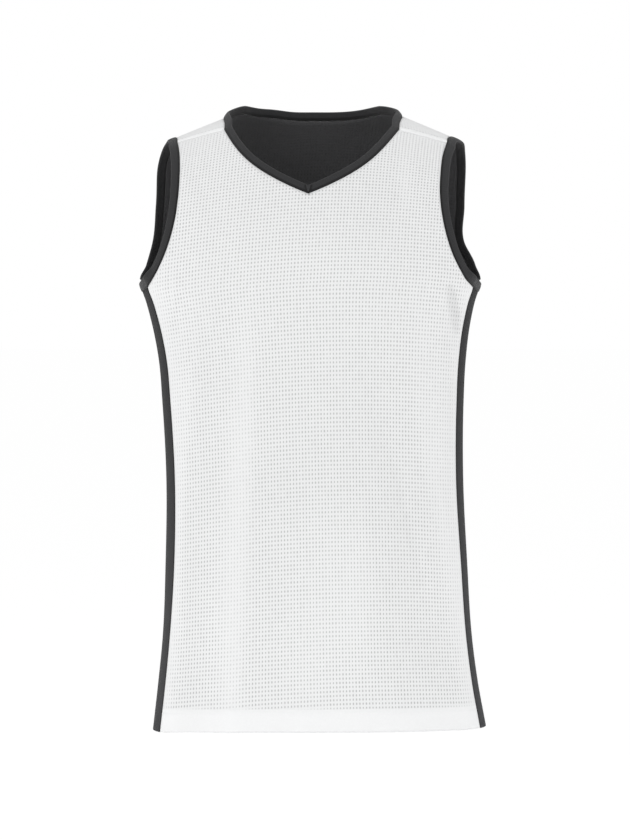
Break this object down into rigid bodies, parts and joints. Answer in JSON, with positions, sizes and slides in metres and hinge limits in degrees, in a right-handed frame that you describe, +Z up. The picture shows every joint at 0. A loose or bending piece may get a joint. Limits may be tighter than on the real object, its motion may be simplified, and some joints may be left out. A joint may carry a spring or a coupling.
{
  "type": "basketball jersey",
  "caption": "Sleeveless reversible basketball jersey with a V neck, bound armholes and open hem, kept in its hollow worn form.",
  "frame": {"origin": "midway between the undersides of the two shoulder straps, where the wearer's shoulders carry the jersey", "axes": "+Z up from hem to neck, -Y out of the front, +X to the right of a viewer who faces the front"},
  "size_m": [0.409, 0.2471, 0.7361],
  "materials": {
    "front_panel": "matte eyelet mesh",
    "back_panel": "matte eyelet mesh",
    "front_lining": "matte plain knit",
    "back_lining": "matte plain knit",
    "side_panel_left": "matte mesh",
    "side_panel_right": "matte mesh",
    "neck_binding": "matte rib knit",
    "neck_overlap": "matte rib knit",
    "armhole_binding_left": "matte rib knit",
    "armhole_binding_right": "matte rib knit",
    "shoulder_seam_left": "smooth knit",
    "shoulder_seam_right": "smooth knit"
  },
  "bodies": {
    "root": {"front_panel": "front_panel", "back_panel": "back_panel", "front_lining": "front_lining", "back_lining": "back_lining", "side_panel_left": "side_panel_left", "side_panel_right": "side_panel_right", "neck_binding": "neck_binding", "neck_overlap": "neck_overlap", "armhole_binding_left": "armhole_binding_left", "armhole_binding_right": "armhole_binding_right", "shoulder_seam_left": "shoulder_seam_left", "shoulder_seam_right": "shoulder_seam_right"}
  },
  "joints": []
}
